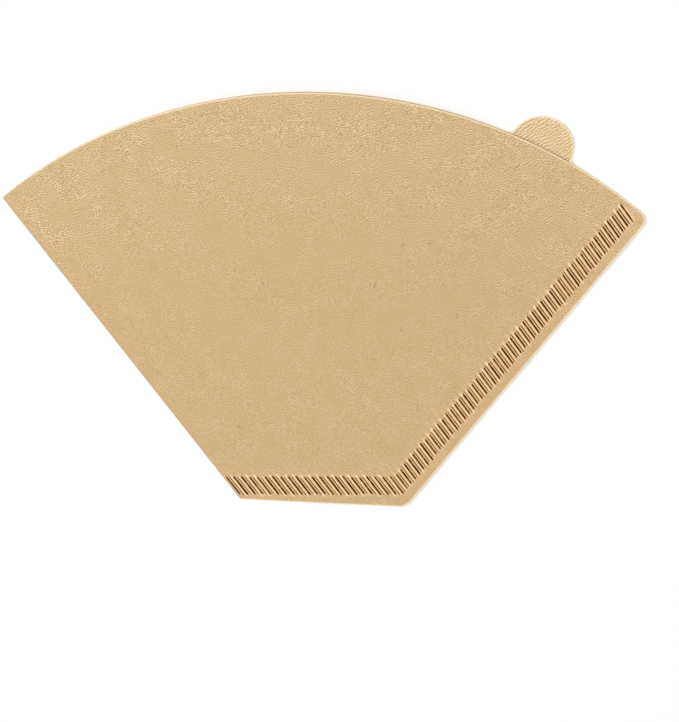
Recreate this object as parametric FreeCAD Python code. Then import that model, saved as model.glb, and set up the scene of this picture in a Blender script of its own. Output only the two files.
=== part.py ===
import FreeCAD, Part
import math
import os

# A cone coffee filter lying flat: one sheet of paper folded along its left slanted edge. The two plies
# are crimped together along the right slanted edge and the bottom, and stay open along the curved rim.
# +X runs across the filter towards the crimped edge, +Y from the bottom towards the rim, +Z up.

# Outline, in millimetres
shoulder_width = 185.0      # between the two upper corners
shoulder_height = 92.0      # upper corners above the bottom edge
total_height = 126.0        # top of the curved rim above the bottom edge
bottom_width = 49.5         # bottom edge, between its sharp corners
shoulder_radius = 3.0       # rounding of the upper corner on the crimped side
heel_radius = 4.5           # rounding of the lower corner on the crimped side

# Paper
ply = 0.18                  # thickness of one ply
ply_gap = 0.10              # air between the plies where they lie together
mouth_rise = 1.3            # how far the upper ply bows up at the middle of the rim
bow_foot = 34.0             # bottom edge to where the upper ply starts to bow
press_width = 0.6           # how far the plies stay flat beside the fold and the teeth, at the mouth

# Pull tab on the lower ply
tab_radius = 9.0
tab_setback = 36.5          # along the rim, from the crimped side's upper corner to the tab's middle
tab_foot_radius = 2.5       # rounding where the tab leaves the rim

# Crimp teeth, all parallel to the fold
tooth_pitch = 1.945         # square to the teeth
crest_width = 0.85          # top of a raised tooth
crest_crown = 0.05          # how far a crest is rounded
groove_width = 0.52         # floor between two teeth
crimp_depth = 0.42          # crest above groove floor
side_margin = 2.8           # slanted edge to the teeth
side_band = 6.2             # width of the band of teeth along the slanted edge
heel_margin = 3.7           # bottom edge to the teeth, under the crimped corner
fold_margin = 1.3           # bottom edge to the teeth, at the folded corner
bottom_band = 6.4           # width of the band of teeth along the bottom
band_radius = 2.0           # rounding of the band where it turns the lower corner
first_groove = 1.1          # fold to the first groove
rim_margin = 0.6            # rim to the last groove

# Heights of the layers
lift = ply + ply_gap                    # underside of the upper ply
stack = lift + ply                      # both plies and the air between them
pressed = 2 * ply                       # both plies squeezed together
clear = stack + mouth_rise + crimp_depth    # cutting shapes reach this far above and below


def point(x, y, z=0.0):
    return FreeCAD.Vector(x, y, z)


# Corners of the plan, and the circle of the rim
fold_foot = point(-bottom_width / 2, 0)
heel = point(bottom_width / 2, 0)
fold_shoulder = point(-shoulder_width / 2, shoulder_height)
seam_shoulder = point(shoulder_width / 2, shoulder_height)
rim_top = point(0, total_height)
rim_sagitta = total_height - shoulder_height
rim_radius = (shoulder_width ** 2 / 4 + rim_sagitta ** 2) / (2 * rim_sagitta)
rim_centre = rim_top - point(0, rim_radius)

# Directions in the plan
rightward = point(1, 0)
upward = point(0, 0, 1)
up_fold = (fold_shoulder - fold_foot).normalize()
up_seam = (seam_shoulder - heel).normalize()
off_fold = point(up_fold.y, -up_fold.x)         # square to the fold, into the panel
off_seam = point(-up_seam.y, up_seam.x)         # square to the slanted edge, into the panel
fold_length = (fold_shoulder - fold_foot).Length


def meet(start_a, way_a, start_b, way_b):
    """Where two lines of the plan cross."""
    apart = start_b - start_a
    turned = point(-way_b.y, way_b.x)
    return start_a + way_a * (apart.dot(turned) / way_a.dot(turned))


def leave_circle(start, way, radius):
    """Where a line of the plan leaves a circle about the rim's centre."""
    out = start - rim_centre
    along = out.dot(way)
    return start + way * (math.sqrt(along ** 2 - out.dot(out) + radius ** 2) - along)


def lines(*corners):
    return [Part.makeLine(a, b) for a, b in zip(corners, corners[1:])]


def slab(edges, low, high):
    """Upright block over a closed outline in the plan."""
    face = Part.Face(Part.Wire(edges))
    face.translate(upward * low)
    return face.extrude(upward * (high - low))


def round_corner(block, corner, radius):
    """Round the upright edge that stands on one corner of the plan."""
    upright = [edge for edge in block.Edges
               if all(math.hypot(v.X - corner.x, v.Y - corner.y) < 1e-4 for v in edge.Vertexes)]
    return block.makeFillet(radius, upright)


def outline_block(low, high):
    """The filter's outline, without its tab."""
    rim = Part.Arc(seam_shoulder, rim_top, fold_shoulder).toShape()
    block = slab(lines(fold_shoulder, fold_foot, heel, seam_shoulder) + [rim], low, high)
    block = round_corner(block, heel, heel_radius)
    return round_corner(block, seam_shoulder, shoulder_radius)


# The bend along the fold takes up a strip of the plan as wide as its radius
bend_line = fold_foot + off_fold * (stack / 2)


def bend_strip():
    """Everything from the bend's centre line out past the fold, cleared from both plies."""
    inner_low = bend_line - up_fold * fold_length
    inner_high = bend_line + up_fold * (2 * fold_length)
    outward = off_fold * -stack
    corners = [inner_low, inner_high, inner_high + outward, inner_low + outward, inner_low]
    return slab(lines(*corners), -clear, clear)


def bend():
    """The half tube of paper that joins both plies along the left slanted edge."""
    middle = bend_line - up_fold * fold_length + upward * (stack / 2)

    def half_circle(radius):
        low, high = middle - upward * radius, middle + upward * radius
        return low, high, Part.Arc(low, middle - off_fold * radius, high).toShape()

    outer_low, outer_high, outer = half_circle(stack / 2)
    inner_low, inner_high, inner = half_circle(ply_gap / 2)
    wall = Part.Wire([outer, Part.makeLine(outer_high, inner_high), inner,
                      Part.makeLine(inner_low, outer_low)])
    tube = Part.Face(wall).extrude(up_fold * (3 * fold_length))
    # cut off along the bottom edge and along the circle of the rim
    reach = point(math.sqrt(rim_radius ** 2 - rim_centre.y ** 2), 0)
    rim = Part.Arc(reach, rim_top, reach * -1).toShape()
    return tube.common(slab(lines(reach * -1, reach) + [rim], -clear, clear))


def lower_ply():
    """The ply that lies underneath, with the pull tab past its rim."""
    turn = math.asin(seam_shoulder.x / rim_radius) - tab_setback / rim_radius
    tab_centre = rim_centre + point(math.sin(turn), math.cos(turn)) * rim_radius
    tab = Part.makeCylinder(tab_radius, ply, tab_centre)
    sheet = outline_block(0, ply).fuse(tab).removeSplitter()
    # the tab's circle meets the rim's circle one chord of tab_radius to each side
    half_turn = 2 * math.asin(tab_radius / (2 * rim_radius))
    for foot_turn in (turn - half_turn, turn + half_turn):
        foot = rim_centre + point(math.sin(foot_turn), math.cos(foot_turn)) * rim_radius
        sheet = round_corner(sheet, foot, tab_foot_radius)
    return sheet.cut(bend_strip())


# Where the upper ply parts from the lower one: a parabola from the bow's foot to both ends of the mouth
side_inner = heel + off_seam * (side_margin + side_band)
mouth_left = leave_circle(bend_line + off_fold * press_width, up_fold, rim_radius)
mouth_right = leave_circle(side_inner + off_seam * press_width, up_seam, rim_radius)
skew = math.sqrt((mouth_right.y - bow_foot) / (mouth_left.y - bow_foot))
bow_middle = (mouth_right.x + skew * mouth_left.x) / (1 + skew)
bow_slope = mouth_rise / (total_height - bow_foot)
bow_radius = (mouth_right.x - bow_middle) ** 2 / (2 * bow_slope * (mouth_right.y - bow_foot))


def bow_block(base):
    """What rises above one level of the upper ply: the crown of a wide cylinder, tilted up to the rim."""
    along = point(0, 1, bow_slope).normalize()
    square = point(0, -along.z, along.y)
    start = point(bow_middle, bow_foot, base) - square * bow_radius - along * total_height
    cylinder = Part.makeCylinder(bow_radius, 3 * total_height, start, along)
    return cylinder.common(outline_block(base, base + 2 * mouth_rise))


def upper_ply():
    """The ply on top: flat beside the seams and the fold, bowed up where the mouth stands open."""
    sheet = outline_block(lift, stack).fuse(bow_block(stack)).cut(bow_block(lift))
    return sheet.cut(bend_strip())


# Lines that bound the band of teeth
bottom_way = point(bottom_width, heel_margin - fold_margin).normalize()
bottom_outer = fold_foot + point(0, fold_margin)
bottom_inner = bottom_outer + point(0, bottom_band)
side_outer = heel + off_seam * side_margin
room = (leave_circle(side_inner, up_seam, rim_radius - rim_margin) - fold_foot).dot(off_fold)
tooth_count = int((room - first_groove - groove_width) / tooth_pitch)
band_length = tooth_count * tooth_pitch + groove_width      # square to the teeth
band_start = fold_foot + off_fold * first_groove
band_end = band_start + off_fold * band_length


def band_block():
    """Plan of the band: beside the bottom edge, round the heel and up the slanted edge."""
    corners = [
        meet(band_start, up_fold, bottom_outer, bottom_way),
        meet(side_outer, up_seam, bottom_outer, bottom_way),
        meet(side_outer, up_seam, band_end, up_fold),
        meet(side_inner, up_seam, band_end, up_fold),
        meet(side_inner, up_seam, bottom_inner, bottom_way),
        meet(band_start, up_fold, bottom_inner, bottom_way),
    ]
    block = slab(lines(*corners, corners[0]), -clear, clear)
    for turn in (corners[1], corners[4]):
        block = round_corner(block, turn, band_radius)
    return block


def crimped_band():
    """Both plies pressed together into teeth: one corrugated profile drawn square to the fold."""
    flank = (tooth_pitch - crest_width - groove_width) / 2
    origin = band_start - up_fold * fold_length

    def across(distance, height):
        return origin + off_fold * distance + upward * height

    def surface(floor, crown):
        """One side of the corrugated paper, from the first groove to the last."""
        crest = floor + crimp_depth
        edges = []
        for tooth in range(tooth_count):
            groove = tooth * tooth_pitch
            rise = groove + groove_width
            top = rise + flank
            fall = top + crest_width
            edges += lines(across(groove, floor), across(rise, floor), across(top, crest))
            if crown:
                middle = across(top + crest_width / 2, crest + crown)
                edges.append(Part.Arc(across(top, crest), middle, across(fall, crest)).toShape())
            else:
                edges += lines(across(top, crest), across(fall, crest))
            edges += lines(across(fall, crest), across(groove + tooth_pitch, floor))
        return edges + lines(across(band_length - groove_width, floor), across(band_length, floor))

    ends = [Part.makeLine(across(end, 0), across(end, pressed)) for end in (0, band_length)]
    profile = Part.Wire(Part.__sortEdges__(surface(0, 0) + surface(pressed, crest_crown) + ends))
    return Part.Face(profile).extrude(up_fold * (3 * fold_length)).common(band_block())


def coffee_filter():
    plies = lower_ply().fuse([upper_ply(), bend()])
    sheet = plies.cut(band_block()).fuse(crimped_band())
    # the origin is under the middle of the outline
    box = sheet.optimalBoundingBox(False)
    sheet.translate(point(-(box.XMin + box.XMax) / 2, -(box.YMin + box.YMax) / 2))
    return sheet


os.makedirs("parts", exist_ok=True)
sheet = coffee_filter()
sheet.exportStep("parts/coffee_filter.step")
print("coffee_filter:", len(sheet.Solids), "solid,", len(sheet.Faces), "faces,", tooth_count, "teeth")
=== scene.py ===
import math

import bpy
import numpy as np
from mathutils import Euler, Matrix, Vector


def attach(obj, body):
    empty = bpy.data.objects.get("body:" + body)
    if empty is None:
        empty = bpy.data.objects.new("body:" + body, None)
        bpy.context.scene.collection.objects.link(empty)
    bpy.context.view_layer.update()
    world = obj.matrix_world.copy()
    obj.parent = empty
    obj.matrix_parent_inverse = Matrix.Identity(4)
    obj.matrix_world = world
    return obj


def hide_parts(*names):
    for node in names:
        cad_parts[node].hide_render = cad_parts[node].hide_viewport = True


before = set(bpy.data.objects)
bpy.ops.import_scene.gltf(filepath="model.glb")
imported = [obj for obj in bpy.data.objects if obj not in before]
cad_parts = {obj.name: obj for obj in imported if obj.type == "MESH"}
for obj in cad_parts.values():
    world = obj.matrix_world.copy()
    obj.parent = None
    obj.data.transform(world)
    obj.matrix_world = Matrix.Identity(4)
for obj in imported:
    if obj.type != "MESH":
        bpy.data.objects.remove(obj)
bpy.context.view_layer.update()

mm = 0.001


def srgb(code):
    # hex colour to the linear values that the shaders take
    parts = [int(code[i:i + 2], 16) / 255 for i in (1, 3, 5)]
    return tuple(c / 12.92 if c <= 0.04045 else ((c + 0.055) / 1.055) ** 2.4 for c in parts) + (1.0,)


def addNode(tree, kind, plugs=None, **settings):
    # one node with its settings; each input takes a value, a socket or another node's first output
    node = tree.nodes.new(kind)
    for name, value in settings.items():
        setattr(node, name, value)
    for name, value in (plugs or {}).items():
        byName = [socket for socket in node.inputs if socket.name == name and socket.enabled]
        socket = node.inputs[name] if isinstance(name, int) else byName[0]
        if isinstance(value, bpy.types.Node):
            value = [output for output in value.outputs if output.enabled][0]
        if isinstance(value, bpy.types.NodeSocket):
            tree.links.new(value, socket)
        else:
            socket.default_value = value
    return node


def smoothStep(x):
    x = np.clip(x, 0, 1)
    return x * x * (3 - 2 * x)


def unit(vector):
    return vector / np.linalg.norm(vector)


# the plan of the folded sheet, in mm: x across it, y from the bottom edge to the rim
outline = {
    "shoulderWidth": 185.0,   # between both upper corners
    "shoulderHeight": 92.0,
    "totalHeight": 126.0,
    "bottomWidth": 49.5,
    "shoulderRadius": 3.0,    # of the upper corner on the crimped side
    "heelRadius": 4.5,        # and of the lower one
    "tabRadius": 9.0,
    "tabSetback": 36.5,       # along the rim from the seam's shoulder
    "tabFootRadius": 2.5,     # where the tab leaves the rim
    "cornerSteps": 24,        # points round a corner
    "rimSteps": 400,
    "footSteps": 12,
    "tabSteps": 40,           # from a foot to the tab's top
    "tipInset": 0.02,         # from the far shoulder to the last mesh line, where both edges all but meet
}

foldFoot = np.array([-outline["bottomWidth"] / 2, 0.0])
heel = np.array([outline["bottomWidth"] / 2, 0.0])
foldShoulder = np.array([-outline["shoulderWidth"] / 2, outline["shoulderHeight"]])
seamShoulder = np.array([outline["shoulderWidth"] / 2, outline["shoulderHeight"]])
sagitta = outline["totalHeight"] - outline["shoulderHeight"]
rimRadius = (outline["shoulderWidth"] ** 2 / 4 + sagitta ** 2) / (2 * sagitta)
rimCentre = np.array([0.0, outline["totalHeight"] - rimRadius])
upFold = unit(foldShoulder - foldFoot)
upSeam = unit(seamShoulder - heel)
offFold = np.array([upFold[1], -upFold[0]])
offSeam = np.array([-upSeam[1], upSeam[0]])


def toAcross(plan):
    # from (x, y) to u, square to the fold, and v, along it
    out = np.asarray(plan) - foldFoot
    return np.stack([out @ offFold, out @ upFold], axis=-1)


def toPlan(u, v):
    # from rows of v over the columns u back to (x, y)
    return foldFoot + u[None, :, None] * offFold + v[..., None] * upFold


def crossing(startA, wayA, startB, wayB):
    turned = np.array([-wayB[1], wayB[0]])
    return startA + wayA * ((startB - startA) @ turned) / (wayA @ turned)


def leaveCircle(start, way, radius):
    # where a line leaves a circle about the rim's centre
    out = start - rimCentre
    along = out @ way
    return start + way * (math.sqrt(along ** 2 - out @ out + radius ** 2) - along)


def arc(centre, start, end, steps):
    # the short way round from start to end
    first = math.atan2(*(start - centre)[::-1])
    turn = (math.atan2(*(end - centre)[::-1]) - first + math.pi) % (2 * math.pi) - math.pi
    angles = first + turn * np.linspace(0, 1, steps)
    radius = np.linalg.norm(start - centre)
    return centre + radius * np.stack([np.cos(angles), np.sin(angles)], axis=1)


def roundedCorner(before, corner, after, radius):
    # the two sides of a corner with an arc between them
    wayIn, wayOut = unit(before - corner), unit(after - corner)
    half = math.acos(wayIn @ wayOut) / 2
    reach = radius / math.tan(half)
    centre = corner + unit(wayIn + wayOut) * radius / math.sin(half)
    rounding = arc(centre, corner + wayIn * reach, corner + wayOut * reach, outline["cornerSteps"])
    return np.vstack([before, rounding, after])


def readLine(line, u):
    # v of a line of the plan at any u
    return np.interp(u, line[:, 0], line[:, 1])


# the shoulder's rounding touches the seam's edge and the rim
shoulderRadius = outline["shoulderRadius"]
shoulderCentre = leaveCircle(heel + offSeam * shoulderRadius, upSeam, rimRadius - shoulderRadius)
onSeam = shoulderCentre - offSeam * shoulderRadius
onRim = rimCentre + unit(shoulderCentre - rimCentre) * rimRadius
farthest = shoulderCentre + offFold * shoulderRadius
lastColumn = toAcross(farthest)[0] - outline["tipInset"]

lowLine = toAcross(np.vstack([roundedCorner(foldFoot, heel, onSeam, outline["heelRadius"]),
                              arc(shoulderCentre, onSeam, farthest, outline["cornerSteps"])]))
rimLine = toAcross(np.vstack([arc(rimCentre, foldShoulder, onRim, outline["rimSteps"]),
                              arc(shoulderCentre, onRim, farthest, outline["cornerSteps"])]))
print("plan: rim radius %.1f mm, %.1f mm from the fold to the far shoulder" % (rimRadius, lastColumn))


# the crimp: teeth parallel to the fold, in a band along the bottom and up the seam, in mm
crimp = {
    "pitch": 1.945,
    "crestWidth": 0.85,
    "crestCrown": 0.05,       # how much higher a crest is in its middle
    "grooveWidth": 0.52,
    "depth": 0.42,
    "firstGroove": 1.1,       # from the fold
    "teeth": 74,
    "sideMargin": 2.8,        # from the slanted cut edge to the teeth
    "sideBand": 6.2,          # width of the band along that edge
    "heelMargin": 3.7,        # from the bottom edge to the teeth, at the crimped corner
    "foldMargin": 1.3,        # and at the folded one
    "bottomBand": 6.4,        # width of the band along the bottom
    "bandRadius": 2.0,        # where the band turns the lower corner
    "sinkLength": 0.40,       # in which a tooth sinks back into the flat paper at its ends
    "sinking": ((0.35, 0.3), (0.7, 0.85), (1.2, 1.0)),    # shares of that, and of the depth there
    "unevenDepth": 0.16,      # share by which one tooth may be shallower than the next
    "seed": 7,
    "cornerRows": (0.22, 0.62),   # how far up the sheet the band's rows lie where it ends, at the shoulder
    "sharpFrom": 75,              # degrees between two faces of a crisp edge
}
bandEnd = crimp["firstGroove"] + crimp["teeth"] * crimp["pitch"] + crimp["grooveWidth"]


def bandLine(bottomAway, sideAway):
    # one edge of the band of teeth, past both of its ends
    bottomWay = unit(np.array([outline["bottomWidth"], crimp["heelMargin"] - crimp["foldMargin"]]))
    bottomLine = foldFoot + np.array([0.0, bottomAway])
    sideLine = heel + offSeam * sideAway
    corner = crossing(bottomLine, bottomWay, sideLine, upSeam)
    pastFold = bottomLine - bottomWay * outline["bottomWidth"]
    pastRim = sideLine + upSeam * outline["shoulderWidth"]
    return toAcross(roundedCorner(pastFold, corner, pastRim, crimp["bandRadius"]))


outerLine = bandLine(crimp["foldMargin"], crimp["sideMargin"])
innerLine = bandLine(crimp["foldMargin"] + crimp["bottomBand"], crimp["sideMargin"] + crimp["sideBand"])


# the paper, in mm
sheetPaper = {
    "ply": 0.18,
    "plyGap": 0.10,           # air between the plies where they lie together
    "pressedGap": 0.01,       # what is left of it in the crimp
    "mouthRise": 1.3,         # how far the upper ply bows up at the middle of the rim
    "bowFoot": 34.0,          # from the bottom edge to where it starts to bow
    "bowEase": 0.12,          # how softly the bow starts
    "pressWidth": 0.6,        # flat paper beside the fold and the teeth, at the mouth
    "panelWave": 0.05,        # how far both plies lift off the table, the margins and the free rim more
    "marginWave": 0.10,
    "rimWave": 0.05,
    "panelSwells": ((46, 20, 0.4), (31, 105, 2.1), (64, 150, 4.0)),   # each its length, turn and start
    "marginSwells": ((23, 52, 1.0), (37, 5, 2.6)),
    "rimSwells": ((27, 10, 0.0), (17, -25, 1.3)),
    "marginReach": 9.0,       # from the cut edges to where the margins' swells have faded
    "rimReach": 22.0,         # and from the rim
    "stillFold": 12.0,        # from the fold to where the sheet is free to lift
    "tabLift": 0.60,          # how far the tab's end curls up
    "tabCurl": 12.0,          # the length that it curls in
    "curlPower": 1.5,         # how late in that it turns up
    "tabBlend": (2.0, 5.0),   # past the tab, from where to where its creping goes over into the panel's
    "faintCreping": 0.34,     # how much the creping shows far from the rim, along it and on the tab
    "markedCreping": 0.74,
    "tabCreping": 2.0,
    "crepingReach": 55.0,     # from the rim to where it has faded
    "foldColumns": (0.5, 0.8),    # mesh lines between the fold and the first groove
    "edgeColumns": 9,             # and from the last groove to the far shoulder
    "bendSteps": 8,               # round the half tube at the fold
    "marginRow": 0.6,             # how far across the margin its one mesh line lies
    "panelRows": 16,
    "rowCrowding": 0.6,           # how much closer the rows lie at the teeth and the rim than between
    "tabRows": 8,
}

# the bow of the upper ply is a parabola in plan, from its foot to both ends of the mouth
stack = 2 * sheetPaper["ply"] + sheetPaper["plyGap"]
bowFoot = sheetPaper["bowFoot"]
sideInner = heel + offSeam * (crimp["sideMargin"] + crimp["sideBand"] + sheetPaper["pressWidth"])
mouthLeft = leaveCircle(foldFoot + offFold * (stack / 2 + sheetPaper["pressWidth"]), upFold, rimRadius)
mouthRight = leaveCircle(sideInner, upSeam, rimRadius)
skew = math.sqrt((mouthRight[1] - bowFoot) / (mouthLeft[1] - bowFoot))
bowMiddle = (mouthRight[0] + skew * mouthLeft[0]) / (1 + skew)
bowSlope = sheetPaper["mouthRise"] / (outline["totalHeight"] - bowFoot)
bowRadius = (mouthRight[0] - bowMiddle) ** 2 / (2 * bowSlope * (mouthRight[1] - bowFoot))


def toRim(plan):
    return rimRadius - np.linalg.norm(plan - rimCentre, axis=-1)


def bow(plan):
    rise = bowSlope * (plan[..., 1] - bowFoot) - (plan[..., 0] - bowMiddle) ** 2 / (2 * bowRadius)
    rise = np.maximum(rise, 0)
    return rise * rise / (rise + sheetPaper["bowEase"])


def waves(plan, amount, swells):
    # a few long crossing swells, each with its length in mm, its turn in degrees and its start
    total = np.zeros(plan.shape[:-1])
    for length, turn, start in swells:
        way = np.array([math.cos(math.radians(turn)), math.sin(math.radians(turn))])
        total += np.sin(2 * math.pi * (plan @ way) / length + start)
    return amount * total / len(swells)


def swell(plan):
    # how far both plies lift off the table together: not at the fold, a little in panel and margins
    across = toAcross(plan)
    fromFold = smoothStep(across[..., 0] / sheetPaper["stillFold"])
    fromLow = across[..., 1] - readLine(lowLine, across[..., 0])
    margin = 1 - smoothStep(fromLow / sheetPaper["marginReach"])
    panel = waves(plan, sheetPaper["panelWave"], sheetPaper["panelSwells"])
    edge = waves(plan, sheetPaper["marginWave"], sheetPaper["marginSwells"])
    return fromFold * (sheetPaper["panelWave"] + panel + margin * (sheetPaper["marginWave"] + edge))


def rimSwell(plan):
    # the free edge of the upper ply is a little uneven
    near = 1 - smoothStep(toRim(plan) / sheetPaper["rimReach"])
    fromFold = smoothStep(toAcross(plan)[..., 0] / sheetPaper["stillFold"])
    uneven = waves(plan, sheetPaper["rimWave"], sheetPaper["rimSwells"])
    return near * fromFold * (sheetPaper["rimWave"] + uneven)


def columnPlaces():
    # u of the mesh lines that run along the fold: on every corner of every tooth
    groove, crest = crimp["grooveWidth"], crimp["crestWidth"]
    flank = (crimp["pitch"] - crest - groove) / 2
    top = groove + flank
    tooth = [0, groove / 2, groove, groove + flank / 2, top, top + crest / 4, top + crest / 2,
             top + crest * 3 / 4, top + crest, crimp["pitch"] - flank / 2]
    places = [stack / 2, *sheetPaper["foldColumns"]]
    for number in range(crimp["teeth"]):
        places += [crimp["firstGroove"] + number * crimp["pitch"] + step for step in tooth]
    places += [bandEnd - groove, bandEnd - groove / 2, bandEnd]
    # the last ones crowd towards the far shoulder, where the outline turns back
    turns = np.linspace(0, math.pi / 2, sheetPaper["edgeColumns"] + 1)[1:]
    return np.concatenate([places, bandEnd + (lastColumn - bandEnd) * np.sin(turns)])


def layGrid(u):
    # rows of points from the low edge to the rim over the columns u, close together at the teeth's ends
    low, high = readLine(lowLine, u), readLine(rimLine, u)
    # past the last tooth the band's rows are squeezed between the low edge and the rim
    outerShare, innerShare = crimp["cornerRows"]
    outer = np.minimum(readLine(outerLine, u), low + outerShare * (high - low))
    inner = np.minimum(readLine(innerLine, u), low + innerShare * (high - low))
    reach = np.minimum(crimp["sinkLength"], (inner - outer) / 4)
    sinking = crimp["sinking"]
    rows = [(low, 0), (low + (outer - low) * sheetPaper["marginRow"], 0), (outer, 0)]
    rows += [(outer + reach * part, share) for part, share in sinking]
    rows += [((outer + inner) / 2, 1)]
    rows += [(inner - reach * part, share) for part, share in sinking[::-1]] + [(inner, 0)]
    for s in np.linspace(0, 1, sheetPaper["panelRows"] + 1)[1:]:
        crowded = s - sheetPaper["rowCrowding"] * math.sin(2 * math.pi * s) / (2 * math.pi)
        rows.append((inner + (high - inner) * crowded, 0))
    v = np.array([row for row, share in rows])
    quarterGroove = crimp["grooveWidth"] / 4
    inBand = (u > crimp["firstGroove"] - quarterGroove) & (u < bandEnd + quarterGroove)
    # the dark lines run from the flank before the first groove to the flank before the last one
    onFlanks = (u > crimp["firstGroove"] / 2) & (u < bandEnd - 3 * quarterGroove)
    plan = toPlan(u, v)
    nearRim = 1 - smoothStep(toRim(plan) / sheetPaper["crepingReach"])
    faint, marked = sheetPaper["faintCreping"], sheetPaper["markedCreping"]
    return {
        "plan": plan,
        "across": np.broadcast_to(u, v.shape),
        "crimpShare": np.outer([share for row, share in rows], inBand),
        "toTeethEnd": np.where(onFlanks, np.minimum(v - outer, inner - v), -1),
        "creping": faint + (marked - faint) * nearRim,
        "onTab": np.zeros(v.shape),
    }


def tabCentre():
    turn = math.asin(seamShoulder[0] / rimRadius) - outline["tabSetback"] / rimRadius
    return rimCentre + rimRadius * np.array([math.sin(turn), math.cos(turn)])


def toCutEdge(plan, withTab):
    # mm to the nearest cut edge of a ply
    across = toAcross(plan)
    fromRim = toRim(plan)
    if withTab:
        inTab = outline["tabRadius"] - np.linalg.norm(plan - tabCentre(), axis=-1)
        fromRim = np.maximum(fromRim, inTab)
    fromLow = (across[..., 1] - readLine(lowLine, across[..., 0])) * upFold[1]
    corner = plan - shoulderCentre
    towards = unit(shoulderCentre - rimCentre)
    inCorner = (corner @ upSeam > 0) & (corner @ np.array([towards[1], -towards[0]]) > 0)
    fromCorner = np.where(inCorner, shoulderRadius - np.linalg.norm(corner, axis=-1), np.inf)
    return np.maximum(np.minimum(np.minimum(fromRim, fromLow), fromCorner), 0)


def atHeight(grid, height, pressedHeight, withTab=False):
    # one face of the paper: where it lies, and where the press holds it
    return dict(grid, height=height, pressedHeight=np.broadcast_to(pressedHeight, height.shape),
                toCutEdge=toCutEdge(grid["plan"], withTab))


def upperPly(u):
    # its outer and its inner face
    grid = layGrid(u)
    height = stack + swell(grid["plan"]) + bow(grid["plan"]) + rimSwell(grid["plan"])
    ply, pressedGap = sheetPaper["ply"], sheetPaper["pressedGap"]
    return atHeight(grid, height, 2 * ply), atHeight(grid, height - ply, ply + pressedGap / 2)


def lowerPly(u):
    grid = layGrid(u)
    height = swell(grid["plan"])
    ply, pressedGap = sheetPaper["ply"], sheetPaper["pressedGap"]
    inner = atHeight(grid, height + ply, ply - pressedGap / 2, True)
    # the tab's creping goes over into the panel's under the upper ply
    fromTab = np.linalg.norm(grid["plan"] - tabCentre(), axis=-1) - outline["tabRadius"]
    blendStart, blendEnd = sheetPaper["tabBlend"]
    inner["onTab"] = 1 - smoothStep((fromTab - blendStart) / (blendEnd - blendStart))
    return atHeight(grid, height, 0, True), inner


def bend():
    # the half tube of paper along the fold, between the two plies
    angles = np.linspace(0, math.pi, sheetPaper["bendSteps"] + 1)[1:-1]
    faces = []
    for radius in (stack / 2, sheetPaper["plyGap"] / 2):
        grid = layGrid(stack / 2 - radius * np.sin(angles))
        height = np.broadcast_to(stack / 2 + radius * np.cos(angles), grid["across"].shape)
        faces.append(atHeight(grid, height, height))
    return faces


def tabOutline():
    # from the rim round the tab and back to the rim, with a rounded foot on each side
    radius, foot = outline["tabRadius"], outline["tabFootRadius"]
    centre = tabCentre()
    turn = math.atan2(*(centre - rimCentre))
    far = rimRadius + foot
    half = math.acos((far ** 2 + rimRadius ** 2 - (radius + foot) ** 2) / (2 * far * rimRadius))
    top = centre + unit(centre - rimCentre) * radius
    sides = []
    for side in (turn - half, turn + half):
        footCentre = rimCentre + far * np.array([math.sin(side), math.cos(side)])
        onRimLine = rimCentre + unit(footCentre - rimCentre) * rimRadius
        onTab = centre + unit(footCentre - centre) * radius
        sides.append(np.vstack([arc(footCentre, onRimLine, onTab, outline["footSteps"]),
                                arc(centre, onTab, top, outline["tabSteps"])[1:]]))
    left, right = sides
    return np.vstack([left, right[-2::-1]])


def alongLine(points):
    # how far along it each point of a line lies, from 0 to 1
    steps = np.linalg.norm(np.diff(points, axis=0), axis=1)
    return np.concatenate([[0], np.cumsum(steps)]) / steps.sum()


def turnAbout(points):
    return np.arctan2(*(points - rimCentre).T)


def growTab(rimPlan, rimIndex, nextIndex):
    # rows of points from a stretch of the rim out to the tab's edge, and the faces between them
    line = tabOutline()
    first, last = np.searchsorted(turnAbout(rimPlan), turnAbout(line[[0, -1]]))
    base, before = rimPlan[first:last + 1], rimIndex[first:last + 1]
    share, lineShare = alongLine(base), alongLine(line)
    edge = np.stack([np.interp(share, lineShare, line[:, axis]) for axis in (0, 1)], axis=1)
    points, faces = [], []
    for step in range(1, sheetPaper["tabRows"] + 1):
        t = step / sheetPaper["tabRows"]
        points.append((base * (1 - t) + edge * t)[1:-1])
        row = np.concatenate([before[:1], nextIndex + np.arange(len(base) - 2), before[-1:]])
        nextIndex += len(base) - 2
        for k in range(len(base) - 1):
            ring = [int(before[k]), int(row[k]), int(row[k + 1]), int(before[k + 1])]
            faces.append(tuple(corner for j, corner in enumerate(ring) if corner != ring[j - 1]))
        before = row
    return np.vstack(points), faces


def joinFaces(*parts):
    return {key: np.concatenate([part[key] for part in parts], axis=1) for key in parts[0]}


def joinTab(skin, plan, base):
    # all points of one skin in a row, with those of the tab after them
    curl = smoothStep(-toRim(plan) / sheetPaper["tabCurl"]) ** sheetPaper["curlPower"]
    height = base + swell(plan) + sheetPaper["tabLift"] * curl
    tab = {
        "plan": plan,
        "across": toAcross(plan)[:, 0],
        "crimpShare": np.zeros(len(plan)),
        "toTeethEnd": np.full(len(plan), -1.0),
        "creping": np.full(len(plan), sheetPaper["tabCreping"]),
        "onTab": np.ones(len(plan)),
        "height": height,
        "pressedHeight": height,
        "toCutEdge": toCutEdge(plan, True),
    }
    return {key: np.concatenate([skin[key].reshape(-1, *tab[key].shape[1:]), tab[key]]) for key in tab}


def cutEdgeWalls(faces, count):
    # a wall from skin to skin on each side that only one face has
    sides = {side for face in faces for side in zip(face, face[1:] + face[:1])}
    return [(b, a, a + count, b + count) for a, b in sorted(sides) if (b, a) not in sides]


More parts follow.
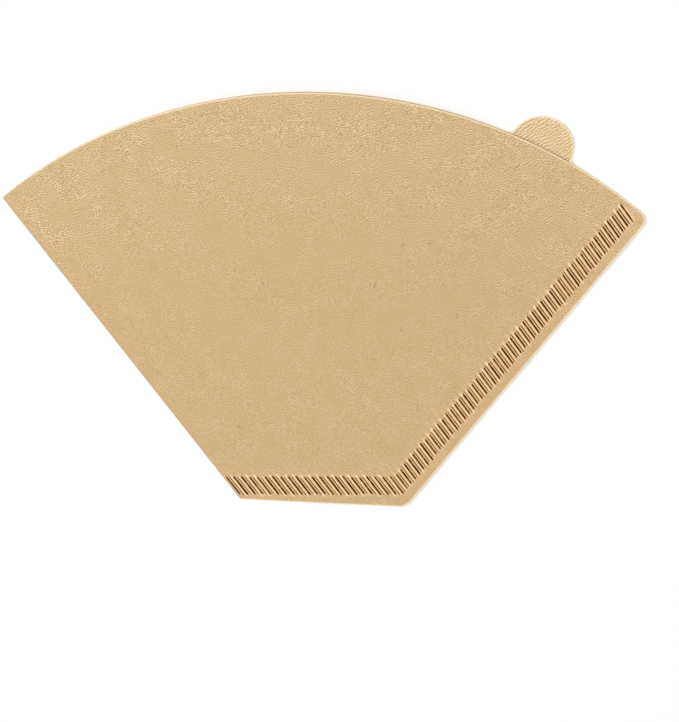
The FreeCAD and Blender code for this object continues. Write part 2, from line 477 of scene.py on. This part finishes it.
def buildSheet():
    # one skin over the upper ply, round the fold and under the lower ply, and one inside it
    u = columnPlaces()
    upperOuter, upperInner = upperPly(u[::-1])
    lowerOuter, lowerInner = lowerPly(u)
    bendOuter, bendInner = bend()
    outer = joinFaces(upperOuter, bendOuter, lowerOuter)
    inner = joinFaces(upperInner, bendInner, lowerInner)
    index = np.arange(outer["height"].size).reshape(outer["height"].shape)
    corners = np.stack([index[:-1, :-1], index[1:, :-1], index[1:, 1:], index[:-1, 1:]], axis=-1)
    # the faces of both plies are split along the same diagonal, so that the plies stay clear in the teeth
    corners[:, :len(u) - 1] = np.roll(corners[:, :len(u) - 1], -1, axis=-1)
    faces = [tuple(face) for face in corners.reshape(-1, 4).tolist()]
    tabPlan, tabFaces = growTab(outer["plan"][-1, -len(u):], index[-1, -len(u):], index.size)
    faces += tabFaces

    skins = [joinTab(outer, tabPlan, 0), joinTab(inner, tabPlan, sheetPaper["ply"])]
    count = len(skins[0]["height"])
    inside = [tuple(corner + count for corner in face[:1] + face[:0:-1]) for face in faces]
    sheet = {key: np.concatenate([skin[key] for skin in skins]) for key in skins[0]}
    # the middle of the plan lies over the frame's origin
    rightmost = shoulderCentre[0] + shoulderRadius
    middle = np.array([(foldShoulder[0] + rightmost) / 2, outline["totalHeight"] / 2])
    points = np.column_stack([sheet["plan"] - middle, sheet["height"]]) * mm
    mesh = bpy.data.meshes.new("foldedSheet")
    mesh.from_pydata(points.tolist(), [], faces + inside + cutEdgeWalls(faces, count))
    for name in ("across", "crimpShare", "toTeethEnd", "creping", "onTab", "pressedHeight", "toCutEdge"):
        values = sheet[name].astype(np.float32)
        mesh.attributes.new(name, "FLOAT", "POINT").data.foreach_set("value", values)
    sheetObject = bpy.data.objects.new("foldedSheet", mesh)
    bpy.context.scene.collection.objects.link(sheetObject)
    print("folded sheet: %d points" % len(points))
    return sheetObject


def crimpTree(paperFinish):
    # every tooth comes from one rule along the sheet, read from the distance to the fold
    tree = bpy.data.node_groups.new("crimpTeeth", "GeometryNodeTree")
    sockets = tree.interface
    sockets.new_socket("Geometry", in_out="INPUT", socket_type="NodeSocketGeometry")
    for name in ("pitch", "crestWidth", "crestCrown", "grooveWidth", "depth", "firstGroove", "unevenDepth"):
        sockets.new_socket(name, in_out="INPUT", socket_type="NodeSocketFloat")
    sockets.new_socket("seed", in_out="INPUT", socket_type="NodeSocketInt")
    sockets.new_socket("Geometry", in_out="OUTPUT", socket_type="NodeSocketGeometry")
    given = addNode(tree, "NodeGroupInput").outputs
    crest, groove, pitch = given["crestWidth"], given["grooveWidth"], given["pitch"]

    across = addNode(tree, "GeometryNodeInputNamedAttribute", {"Name": "across"}, data_type="FLOAT")
    pressed = addNode(tree, "GeometryNodeInputNamedAttribute", {"Name": "pressedHeight"}, data_type="FLOAT")
    share = addNode(tree, "GeometryNodeInputNamedAttribute", {"Name": "crimpShare"}, data_type="FLOAT")
    start = addNode(tree, "ShaderNodeMath", {0: across, 1: given["firstGroove"]}, operation="SUBTRACT")
    phase = addNode(tree, "ShaderNodeMath", {0: start, 1: pitch}, operation="FLOORED_MODULO")
    count = addNode(tree, "ShaderNodeMath", {0: start, 1: pitch}, operation="DIVIDE")
    number = addNode(tree, "ShaderNodeMath", {0: count}, operation="FLOOR")

    # groove floor, flank, crest and flank again
    flats = addNode(tree, "ShaderNodeMath", {0: crest, 1: groove}, operation="ADD")
    flanks = addNode(tree, "ShaderNodeMath", {0: pitch, 1: flats}, operation="SUBTRACT")
    crestStart = addNode(tree, "ShaderNodeMath", {0: flanks, 1: 0.5, 2: groove}, operation="MULTIPLY_ADD")
    crestEnd = addNode(tree, "ShaderNodeMath", {0: crestStart, 1: crest}, operation="ADD")
    rise = addNode(tree, "ShaderNodeMapRange", {"Value": phase, "From Min": groove, "From Max": crestStart},
                   interpolation_type="SMOOTHSTEP")
    fall = addNode(tree, "ShaderNodeMapRange", {"Value": phase, "From Min": crestEnd, "From Max": pitch},
                   interpolation_type="SMOOTHSTEP")
    onCrest = addNode(tree, "ShaderNodeMath", {0: rise, 1: fall}, operation="SUBTRACT")

    # each tooth is pressed a little less deep than the deepest
    luck = addNode(tree, "FunctionNodeRandomValue",
                   {"Min": -1.0, "Max": 0.0, "ID": number, "Seed": given["seed"]}, data_type="FLOAT")
    kept = addNode(tree, "ShaderNodeMath", {0: luck, 1: given["unevenDepth"], 2: 1.0},
                   operation="MULTIPLY_ADD")
    depth = addNode(tree, "ShaderNodeMath", {0: kept, 1: given["depth"]}, operation="MULTIPLY")

    # the crest is crowned: highest in its middle
    crestMiddle = addNode(tree, "ShaderNodeMath", {0: crest, 1: 0.5, 2: crestStart},
                          operation="MULTIPLY_ADD")
    halfCrest = addNode(tree, "ShaderNodeMath", {0: crest, 1: 0.5}, operation="MULTIPLY")
    away = addNode(tree, "ShaderNodeMath", {0: phase, 1: crestMiddle}, operation="SUBTRACT")
    reach = addNode(tree, "ShaderNodeMath", {0: away, 1: halfCrest}, operation="DIVIDE")
    squared = addNode(tree, "ShaderNodeMath", {0: reach, 1: reach}, operation="MULTIPLY")
    crowned = addNode(tree, "ShaderNodeMath", {0: 1.0, 1: squared}, operation="SUBTRACT", use_clamp=True)
    crown = addNode(tree, "ShaderNodeMath", {0: crowned, 1: given["crestCrown"], 2: pressed},
                    operation="MULTIPLY_ADD")
    height = addNode(tree, "ShaderNodeMath", {0: onCrest, 1: depth, 2: crown}, operation="MULTIPLY_ADD")

    # the press moves the paper from where it lies to the height in its teeth
    place = addNode(tree, "ShaderNodeSeparateXYZ", {"Vector": addNode(tree, "GeometryNodeInputPosition")})
    inMetres = addNode(tree, "ShaderNodeMath", {0: height, 1: mm}, operation="MULTIPLY")
    drop = addNode(tree, "ShaderNodeMath", {0: inMetres, 1: place.outputs["Z"]}, operation="SUBTRACT")
    part = addNode(tree, "ShaderNodeMath", {0: drop, 1: share}, operation="MULTIPLY")
    offset = addNode(tree, "ShaderNodeCombineXYZ", {"Z": part})
    pressedSheet = addNode(tree, "GeometryNodeSetPosition",
                           {"Geometry": given["Geometry"], "Offset": offset})
    real = addNode(tree, "GeometryNodeRealizeInstances", {"Geometry": pressedSheet})
    dressed = addNode(tree, "GeometryNodeSetMaterial", {"Geometry": real, "Material": paperFinish})
    addNode(tree, "NodeGroupOutput", {"Geometry": dressed})
    return tree


def pressCrimp(sheet, paperFinish):
    tree = crimpTree(paperFinish)
    press = sheet.modifiers.new("crimpTeeth", "NODES")
    press.node_group = tree
    for item in tree.interface.items_tree:
        if item.in_out == "INPUT" and item.name in crimp:
            press[item.identifier] = crimp[item.name]
    depsgraph = bpy.context.evaluated_depsgraph_get()
    mesh = bpy.data.meshes.new_from_object(sheet.evaluated_get(depsgraph), depsgraph=depsgraph)
    sheet.modifiers.remove(press)
    flatMesh = sheet.data
    sheet.data = mesh
    bpy.data.meshes.remove(flatMesh)
    mesh.name = sheet.name = "coffeeFilter"
    mesh.shade_smooth()
    mesh.set_sharp_from_angle(angle=math.radians(crimp["sharpFrom"]))
    print("crimp: %d teeth, %d faces" % (crimp["teeth"], len(mesh.polygons)))
    return sheet


# Unbleached creped filter paper: a sheet of wood pulp, creped wet on a roll and left brown.
# The eye gets a matt tan with short fine wrinkles, faint clouds, a few dark fibres and pale cut edges; the
# wrinkles' shade and light, the shade in the teeth's flanks, the highlights on crests, tooth ends and cut
# edges, and a paler rim and tab are painted in.
paperLook = {
    "tan": "#d5b485",
    "paintedWrinkleShade": "#a58250",
    "paintedWrinkleLight": "#fee6b9",
    "cloudy": "#ccab7a",
    "fibre": "#7c5630",
    "flankShadeFringe": "#b87724",
    "flankShadeCore": "#481f00",
    "crimpBandHighlight": "#f8d6a6",
    "toothEndHighlight": "#fff0d2",
    "besidePress": "#e0b080",
    "stretchedFold": "#dba566",
    "cutEdge": "#ffefd0",
    "wrinkleSpacing": 0.68,   # mm between wrinkles; the real 0.35 or so is too fine to show here
    "wrinkleLength": 1.25,    # mm
    "alignment": 0.82,        # 1 lays all wrinkles the same way
    "steepTurn": 33.0,        # degrees that the wrinkles rise to the right in one patch
    "flatTurn": -8.0,         # and in the next
    "patchSize": 3.2,         # mm
    "turnsFrom": 0.56,        # the patches' noise where wrinkles start to turn from flat to steep
    "turnsTo": 0.46,
    "fineGrain": 0.34,        # mm
    "grainShare": 0.55,       # of the relief, the rest is wrinkles
    "fullShadow": 0.36,       # the relief that looks darkest
    "fullLight": 0.64,        # and lightest
    "calmest": 0.65,          # how much the creping shows in the calmest and the liveliest patch
    "liveliest": 1.1,
    "calmNoise": 0.36,        # the patches' noise that makes them so
    "livelyNoise": 0.58,
    "tabWrinkleSpacing": 0.86,
    "tabWrinkleLength": 1.9,
    "tabGrainShare": 0.4,
    "cloudSize": 7.0,         # mm
    "fibreCell": 8.0,         # mm, with at most one dark fibre in each
    "bareCells": 0.84,        # share of them that have none
    "darkestFibre": 0.75,
    "fibreLength": 1.1,       # mm, half
    "fibreWidth": 0.14,       # mm, half
    "fibreCore": 0.5,         # share of that, from its middle, that is fully dark
    "fibreReach": 1.1,        # and where it has faded out
    "flankReach": 0.31,       # mm from a flank's middle to where its dark line has faded out
    "lineCore": 0.4,          # share of that reach that is fully dark
    "lineBreaks": 1.3,        # mm between weaker places along a dark line
    "weakestPlace": 0.62,
    "weakNoise": 0.34,        # the noise along a line that leaves it weakest, and whole
    "wholeNoise": 0.52,
    "palestLine": 0.75,
    "lineInset": 0.4,         # mm that a line may start further in than the next, and that it fades in
    "lineOutset": 0.05,       # mm that one may start further out than the teeth's ends
    "flankSeed": 200.5,       # keeps the luck of the two flanks of a tooth apart
    "tipLength": 0.7,         # mm of a crest's pale end, a painted highlight where it catches the light
    "tipCore": 0.6,           # share of a crest's half width that is fully pale there
    "tipFade": 0.3,           # share of that length, inwards, that stays fully pale
    "foldWear": 1.9,          # mm from the fold to where its stretched colour has faded out
    "wearUneven": 1.4,        # mm by which the creping makes that wider or narrower
    "edgeFuzzAndHighlight": 0.48,         # mm along a cut edge of paler torn fibres, with a painted highlight where the edge catches the light
    "roughness": 0.88,
    "ior": 1.5,               # cellulose
    "specularLevel": 0.12,    # low, because loose fibres scatter the gloss
    "bump": 0.035,            # mm, how high the relief stands
}


def creping(tree, inMm, shown, onTab):
    # -1 in a wrinkle's painted shade to 1 on its painted light side, and the height for the bump
    look = paperLook
    patches = addNode(tree, "ShaderNodeTexNoise",
                      {"Vector": inMm, "Scale": 1 / look["patchSize"], "Detail": 1.0})
    length, spacing = look["wrinkleLength"], look["wrinkleSpacing"]
    flat = addNode(tree, "ShaderNodeTexGabor",
                   {"Vector": inMm, "Scale": 1 / length, "Frequency": length / spacing,
                    "Anisotropy": look["alignment"], "Orientation": math.radians(90 + look["flatTurn"])},
                   gabor_type="2D")
    # the tab's wrinkles are longer and lie further apart
    tabLength, tabSpacing = look["tabWrinkleLength"], look["tabWrinkleSpacing"]
    scale = addNode(tree, "ShaderNodeMapRange",
                    {"Value": onTab, "To Min": 1 / length, "To Max": 1 / tabLength})
    perScale = addNode(tree, "ShaderNodeMapRange",
                       {"Value": onTab, "To Min": length / spacing, "To Max": tabLength / tabSpacing})
    steep = addNode(tree, "ShaderNodeTexGabor",
                    {"Vector": inMm, "Scale": scale, "Frequency": perScale, "Anisotropy": look["alignment"],
                     "Orientation": math.radians(90 + look["steepTurn"])}, gabor_type="2D")
    turned = addNode(tree, "ShaderNodeMapRange",
                     {"Value": patches, "From Min": look["turnsFrom"], "From Max": look["turnsTo"]})
    steepShare = addNode(tree, "ShaderNodeMath", {0: turned, 1: onTab}, operation="MAXIMUM")
    wrinkles = addNode(tree, "ShaderNodeMix", {"Factor": steepShare, "A": flat, "B": steep},
                       data_type="FLOAT")
    grain = addNode(tree, "ShaderNodeTexNoise",
                    {"Vector": inMm, "Scale": 1 / look["fineGrain"], "Detail": 1.0, "Roughness": 0.6})
    grainShare = addNode(tree, "ShaderNodeMapRange",
                         {"Value": onTab, "To Min": look["grainShare"], "To Max": look["tabGrainShare"]})
    relief = addNode(tree, "ShaderNodeMix", {"Factor": grainShare, "A": wrinkles, "B": grain},
                     data_type="FLOAT")
    marks = addNode(tree, "ShaderNodeMapRange",
                    {"Value": relief, "From Min": look["fullShadow"], "From Max": look["fullLight"],
                     "To Min": -1.0, "To Max": 1.0}, interpolation_type="SMOOTHSTEP")
    # patches of the sheet took the creping less than others
    luck = addNode(tree, "ShaderNodeSeparateColor", {"Color": patches.outputs["Color"]})
    taken = addNode(tree, "ShaderNodeMapRange",
                    {"Value": luck.outputs["Green"], "From Min": look["calmNoise"],
                     "From Max": look["livelyNoise"], "To Min": look["calmest"],
                     "To Max": look["liveliest"]})
    strength = addNode(tree, "ShaderNodeMath", {0: taken, 1: shown}, operation="MULTIPLY")
    marked = addNode(tree, "ShaderNodeMath", {0: marks, 1: strength}, operation="MULTIPLY")
    return marked, relief


def darkFibres(tree, inMm):
    # how much of a dark fibre lies at each place, each one turned its own way in its own cell
    look = paperLook
    cell = addNode(tree, "ShaderNodeTexVoronoi", {"Vector": inMm, "Scale": 1 / look["fibreCell"]},
                   voronoi_dimensions="2D")
    luck = addNode(tree, "ShaderNodeSeparateColor", {"Color": cell.outputs["Color"]})
    away = addNode(tree, "ShaderNodeVectorMath", {0: inMm, 1: cell.outputs["Position"]},
                   operation="SUBTRACT")
    turn = addNode(tree, "ShaderNodeMath", {0: luck.outputs["Green"], 1: 2 * math.pi}, operation="MULTIPLY")
    turned = addNode(tree, "ShaderNodeVectorRotate", {"Vector": away, "Angle": turn}, rotation_type="Z_AXIS")
    slim = addNode(tree, "ShaderNodeVectorMath",
                   {0: turned, 1: (1 / look["fibreLength"], 1 / look["fibreWidth"], 0)},
                   operation="MULTIPLY")
    reach = addNode(tree, "ShaderNodeVectorMath", {0: slim}, operation="LENGTH")
    inside = addNode(tree, "ShaderNodeMapRange",
                     {"Value": reach.outputs["Value"], "From Min": look["fibreReach"],
                      "From Max": look["fibreCore"]})
    chosen = addNode(tree, "ShaderNodeMapRange",
                     {"Value": luck.outputs["Red"], "From Min": look["bareCells"],
                      "To Max": look["darkestFibre"]})
    return addNode(tree, "ShaderNodeMath", {0: inside, 1: chosen}, operation="MULTIPLY")


def stripes(tree, across, middle):
    # the number of the nearest line along the teeth, one to a pitch, and how far off it is in pitches
    start = (crimp["firstGroove"] + middle) / crimp["pitch"]
    place = addNode(tree, "ShaderNodeMath", {0: across, 1: 1 / crimp["pitch"], 2: -start},
                    operation="MULTIPLY_ADD")
    number = addNode(tree, "ShaderNodeMath", {0: place}, operation="ROUND")
    beside = addNode(tree, "ShaderNodeMath", {0: place, 1: number}, operation="SUBTRACT")
    return number, addNode(tree, "ShaderNodeMath", {0: beside}, operation="ABSOLUTE")


def paleTips(tree, across, toEnd):
    # a painted highlight where each crest's end catches the light, past both ends of its dark lines
    middle = (crimp["pitch"] + crimp["grooveWidth"]) / 2
    number, away = stripes(tree, across, middle)
    reach = crimp["crestWidth"] / 2 / crimp["pitch"]
    length = paperLook["tipLength"]
    onCrest = addNode(tree, "ShaderNodeMapRange",
                      {"Value": away, "From Min": reach, "From Max": reach * paperLook["tipCore"]})
    past = addNode(tree, "ShaderNodeMapRange", {"Value": toEnd, "From Min": -length, "From Max": 0.0})
    before = addNode(tree, "ShaderNodeMapRange",
                     {"Value": toEnd, "From Min": length, "From Max": length * paperLook["tipFade"]})
    atEnd = addNode(tree, "ShaderNodeMath", {0: past, 1: before}, operation="MULTIPLY")
    luck = addNode(tree, "ShaderNodeTexWhiteNoise", {"W": number}, noise_dimensions="1D")
    litEnd = addNode(tree, "ShaderNodeMath", {0: onCrest, 1: luck}, operation="MULTIPLY")
    return addNode(tree, "ShaderNodeMath", {0: atEnd, 1: litEnd}, operation="MULTIPLY")


def flankLine(tree, across, toEnd, side):
    # the dark line on one flank of every tooth, painted shade where the steep flank lies in shadow, with a
    # little darkening of the pressed paper: side 0 rises out of the groove, side 1 sinks into the next
    look = paperLook
    flank = (crimp["pitch"] - crimp["crestWidth"] - crimp["grooveWidth"]) / 2
    middle = (crimp["grooveWidth"] + flank / 2, crimp["pitch"] - flank / 2)[side]
    number, away = stripes(tree, across, middle)
    reach = look["flankReach"] / crimp["pitch"]
    line = addNode(tree, "ShaderNodeMapRange",
                   {"Value": away, "From Min": reach, "From Max": reach * look["lineCore"]},
                   interpolation_type="SMOOTHSTEP")
    # one line is darker than the next, and starts further in
    chance = addNode(tree, "ShaderNodeMath", {0: number, 1: look["flankSeed"] * side}, operation="ADD")
    noise = addNode(tree, "ShaderNodeTexWhiteNoise", {"W": chance}, noise_dimensions="1D")
    luck = addNode(tree, "ShaderNodeSeparateColor", {"Color": noise.outputs["Color"]})
    dark = addNode(tree, "ShaderNodeMapRange", {"Value": luck.outputs["Red"], "To Min": look["palestLine"]})
    inset = addNode(tree, "ShaderNodeMapRange",
                    {"Value": luck.outputs["Green"], "To Min": -look["lineOutset"],
                     "To Max": look["lineInset"]})
    full = addNode(tree, "ShaderNodeMath", {0: inset, 1: look["lineInset"]}, operation="ADD")
    begun = addNode(tree, "ShaderNodeMapRange", {"Value": toEnd, "From Min": inset, "From Max": full})
    drawn = addNode(tree, "ShaderNodeMath", {0: line, 1: begun}, operation="MULTIPLY")
    return addNode(tree, "ShaderNodeMath", {0: drawn, 1: dark}, operation="MULTIPLY")


def flankLines(tree, inMm, across, toEnd):
    # both painted shade lines of each tooth, with weaker places along them
    look = paperLook
    breaks = addNode(tree, "ShaderNodeTexNoise",
                     {"Vector": inMm, "Scale": 1 / look["lineBreaks"], "Detail": 1.0})
    whole = addNode(tree, "ShaderNodeMapRange",
                    {"Value": breaks, "From Min": look["weakNoise"], "From Max": look["wholeNoise"],
                     "To Min": look["weakestPlace"]})
    rising, sinking = [flankLine(tree, across, toEnd, side) for side in (0, 1)]
    both = addNode(tree, "ShaderNodeMath", {0: rising, 1: sinking}, operation="MAXIMUM")
    return addNode(tree, "ShaderNodeMath", {0: both, 1: whole}, operation="MULTIPLY")


def crepedPaper():
    finish = bpy.data.materials.new("unbleachedCrepedPaper")
    finish.use_nodes = True
    tree = finish.node_tree
    tree.nodes.clear()
    look = paperLook
    place = addNode(tree, "ShaderNodeTexCoord").outputs["Object"]
    inMm = addNode(tree, "ShaderNodeVectorMath", {"Vector": place, "Scale": 1 / mm}, operation="SCALE")
    names = ("across", "crimpShare", "toTeethEnd", "toCutEdge", "creping", "onTab")
    across, share, toEnd, toEdge, shown, onTab = [
        addNode(tree, "ShaderNodeAttribute", attribute_name=name).outputs["Fac"] for name in names]

    marked, relief = creping(tree, inMm, shown, onTab)
    clouds = addNode(tree, "ShaderNodeTexNoise",
                     {"Vector": inMm, "Scale": 1 / look["cloudSize"], "Detail": 3.0, "Roughness": 0.6})
    lines = flankLines(tree, inMm, across, toEnd)
    # the fold's stretched colour is wider in some places than in others
    uneven = addNode(tree, "ShaderNodeMath", {0: marked, 1: look["wearUneven"], 2: across},
                     operation="MULTIPLY_ADD")

    # each layer of colour: what it is read from, where it starts, where it is full, how much of it, its hue
    layers = (
        # painted highlight and painted shade on the two sides of every wrinkle
        (marked, 0.0, 1.0, 1.0, "paintedWrinkleLight"),
        (marked, 0.0, -1.0, 1.0, "paintedWrinkleShade"),
        (clouds, 0.35, 0.75, 0.5, "cloudy"),
        # painted light: a little paler towards the rim and on the tab
        (shown, sheetPaper["faintCreping"], sheetPaper["markedCreping"], 0.06, "paintedWrinkleLight"),
        # painted light: the tab paler than the panel
        (onTab, 0.0, 1.0, 0.28, "paintedWrinkleLight"),
        (darkFibres(tree, inMm), 0.0, 1.0, 1.0, "fibre"),
        (toEnd, -1.0, 0.2, 0.35, "besidePress"),
        (uneven, look["foldWear"], 0.1, 0.25, "stretchedFold"),
        # painted highlight: the crimp band paler, where its crests and groove floors catch the light
        (share, 0.2, 1.0, 0.8, "crimpBandHighlight"),
        # painted highlight where each crest's end catches the light
        (paleTips(tree, across, toEnd), 0.0, 1.0, 0.75, "toothEndHighlight"),
        # painted shade in the teeth's steep flanks: a brown fringe round a dark core
        (lines, 0.0, 0.5, 1.0, "flankShadeFringe"),
        (lines, 0.3, 0.9, 1.0, "flankShadeCore"),
        # pale fibres of the cut edges, with a painted highlight where the edges catch the light
        (toEdge, look["edgeFuzzAndHighlight"], 0.0, 1.0, "cutEdge"),
    )
    colour = srgb(look["tan"])
    for source, start, full, most, hue in layers:
        amount = addNode(tree, "ShaderNodeMapRange",
                         {"Value": source, "From Min": start, "From Max": full, "To Max": most})
        colour = addNode(tree, "ShaderNodeMix", {"Factor": amount, "A": colour, "B": srgb(look[hue])},
                         data_type="RGBA")

    bump = addNode(tree, "ShaderNodeBump",
                   {"Strength": 1.0, "Distance": look["bump"] * mm, "Height": relief})
    shader = addNode(tree, "ShaderNodeBsdfPrincipled",
                     {"Base Color": colour, "Normal": bump, "Roughness": look["roughness"],
                      "IOR": look["ior"], "Specular IOR Level": look["specularLevel"]})
    addNode(tree, "ShaderNodeOutputMaterial", {"Surface": shader})
    return finish


coffeeFilter = pressCrimp(buildSheet(), crepedPaper())
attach(coffeeFilter, "root")
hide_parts("coffee_filter")


# floor, light and camera, in metres and watts unless said
studio = {
    "floorSize": 6.0,
    "floorDrop": 0.00002,     # the sheet lies just clear of the floor
    "floor": "#f4f4f4",
    "floorGlow": 0.14,        # seen by the camera, straight or through gloss
    "worldStrength": 0.62,    # of the light on the object, the backdrop itself is seen white
    "keyEnergy": 17.4,
    "keySize": 1.15,
    "keyFrom": (-1.15, 0.55, 1.38),
    "fillEnergy": 5.5,
    "fillSize": 2.0,
    "fillFrom": (1.3, 1.1, 1.9),
    "cameraAt": (0.09039, 0.26525, 0.70996),
    "cameraTurn": (-21.614, 6.7239, -0.2123),     # degrees
    "lens": 132.13,                               # mm
    "clip": (0.05, 20),
}


def backdropRays(tree):
    # 1 for what the camera sees, straight or through gloss, and 0 for light on the object
    rays = addNode(tree, "ShaderNodeLightPath").outputs
    either = addNode(tree, "ShaderNodeMath", {0: rays["Is Camera Ray"], 1: rays["Is Glossy Ray"]},
                     operation="MAXIMUM")
    return addNode(tree, "ShaderNodeMath", {0: either, 1: rays["Is Transmission Ray"]}, operation="MAXIMUM")


def paleWorld():
    world = bpy.data.worlds.new("paleRoom")
    world.use_nodes = True
    tree = world.node_tree
    tree.nodes.clear()
    light = addNode(tree, "ShaderNodeBackground",
                    {"Color": (1, 1, 1, 1), "Strength": studio["worldStrength"]})
    seen = addNode(tree, "ShaderNodeBackground", {"Color": (1, 1, 1, 1), "Strength": 1.0})
    both = addNode(tree, "ShaderNodeMixShader", {0: backdropRays(tree), 1: light, 2: seen})
    addNode(tree, "ShaderNodeOutputWorld", {"Surface": both})
    return world


def paleFloor():
    half, drop = studio["floorSize"] / 2, studio["floorDrop"]
    mesh = bpy.data.meshes.new("paleFloor")
    corners = [(x * half, y * half, -drop) for x, y in ((-1, -1), (1, -1), (1, 1), (-1, 1))]
    mesh.from_pydata(corners, [], [(0, 1, 2, 3)])
    paint = bpy.data.materials.new("paleFloorPaint")
    paint.use_nodes = True
    tree = paint.node_tree
    tree.nodes.clear()
    matt = addNode(tree, "ShaderNodeBsdfDiffuse", {"Color": srgb(studio["floor"])})
    seen = addNode(tree, "ShaderNodeMath", {0: backdropRays(tree), 1: studio["floorGlow"]},
                   operation="MULTIPLY")
    glow = addNode(tree, "ShaderNodeEmission", {"Color": (1, 1, 1, 1), "Strength": seen})
    lit = addNode(tree, "ShaderNodeAddShader", {0: matt, 1: glow})
    addNode(tree, "ShaderNodeOutputMaterial", {"Surface": lit})
    mesh.materials.append(paint)
    floor = bpy.data.objects.new("paleFloor", mesh)
    bpy.context.scene.collection.objects.link(floor)


def softLamp(name):
    lamp = bpy.data.lights.new(name + "Lamp", "AREA")
    lamp.energy = studio[name + "Energy"]
    lamp.size = studio[name + "Size"]
    holder = bpy.data.objects.new(name + "Lamp", lamp)
    holder.location = studio[name + "From"]
    holder.rotation_euler = (-Vector(studio[name + "From"])).to_track_quat("-Z", "Y").to_euler()
    bpy.context.scene.collection.objects.link(holder)


def buildStudio():
    scene = bpy.context.scene
    scene.view_settings.view_transform = "Standard"
    scene.world = paleWorld()
    paleFloor()
    softLamp("key")
    softLamp("fill")
    view = bpy.data.cameras.new("camera")
    view.lens = studio["lens"]
    view.clip_start, view.clip_end = studio["clip"]
    camera = bpy.data.objects.new("camera", view)
    camera.location = studio["cameraAt"]
    camera.rotation_euler = Euler([math.radians(turn) for turn in studio["cameraTurn"]])
    scene.collection.objects.link(camera)
    scene.camera = camera
    print("studio: floor, two lamps and the camera")


buildStudio()
